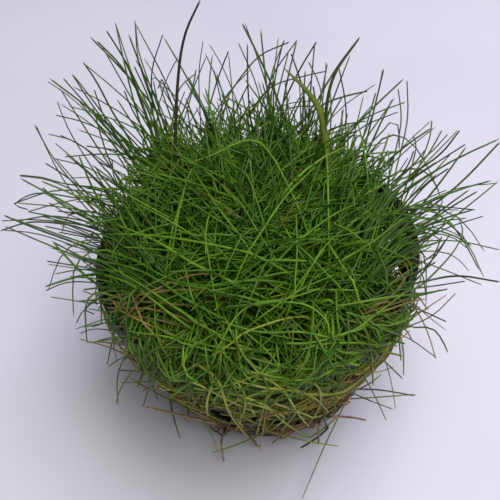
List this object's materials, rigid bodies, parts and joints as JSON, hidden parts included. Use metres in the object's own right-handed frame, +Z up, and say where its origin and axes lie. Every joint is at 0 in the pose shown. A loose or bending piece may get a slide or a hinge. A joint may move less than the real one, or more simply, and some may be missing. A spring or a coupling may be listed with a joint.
{
  "type": "dwarf hairgrass in net pot",
  "caption": "Dense tufts of fine round green blades growing on a rockwool plug in a tapered black slotted net pot, with young tufts and roots through the slots.",
  "frame": {"origin": "centre of the net pot's flat underside, on the surface that it stands on", "axes": "+Z up along the pot's axis, -Y towards the front, the side the picture was taken from, +X to the right as seen from the front"},
  "size_m": [0.08, 0.0719, 0.07],
  "materials": {
    "black_plastic": "moulded black plastic, satin",
    "rockwool": "wet brown mineral wool matted with roots",
    "green_blade": "fresh green blades, semi-gloss",
    "olive_blade": "olive green blades, semi-gloss",
    "brown_stalk": "dark brown stalk, matt",
    "tan_root": "tan roots, matt"
  },
  "bodies": {
    "root": {"net_pot": "black_plastic", "root_ball": "rockwool", "brown_stalk": "brown_stalk", "broad_blade": "olive_blade", "tuft_01": "green_blade", "tuft_02": "green_blade", "tuft_03": "green_blade", "tuft_04": "green_blade", "tuft_05": "green_blade", "tuft_06": "green_blade", "tuft_07": "green_blade", "tuft_08": "green_blade", "tuft_09": "green_blade", "tuft_10": "green_blade", "tuft_11": "green_blade", "tuft_12": "green_blade", "tuft_13": "green_blade", "tuft_14": "green_blade", "tuft_15": "green_blade", "tuft_16": "green_blade", "tuft_17": "green_blade", "tuft_18": "green_blade", "tuft_19": "green_blade", "tuft_20": "green_blade", "tuft_21": "green_blade", "tuft_22": "green_blade", "tuft_23": "green_blade", "tuft_24": "green_blade", "tuft_25": "green_blade", "tuft_26": "green_blade", "tuft_27": "green_blade", "tuft_28": "green_blade", "tuft_29": "green_blade", "tuft_30": "green_blade", "tuft_31": "green_blade", "tuft_32": "green_blade", "side_tuft_01": "olive_blade", "side_tuft_02": "olive_blade", "side_tuft_03": "olive_blade", "side_tuft_04": "olive_blade", "side_tuft_05": "olive_blade", "side_tuft_06": "olive_blade", "side_tuft_07": "olive_blade", "side_tuft_08": "olive_blade", "side_tuft_09": "olive_blade", "side_tuft_10": "olive_blade", "side_tuft_11": "olive_blade", "side_tuft_12": "olive_blade", "side_tuft_13": "olive_blade", "side_tuft_14": "olive_blade", "side_tuft_15": "olive_blade", "side_tuft_16": "olive_blade", "side_tuft_17": "olive_blade", "side_tuft_18": "olive_blade", "root_bundle_01": "tan_root", "root_bundle_02": "tan_root", "root_bundle_03": "tan_root", "root_bundle_04": "tan_root"}
  },
  "joints": []
}
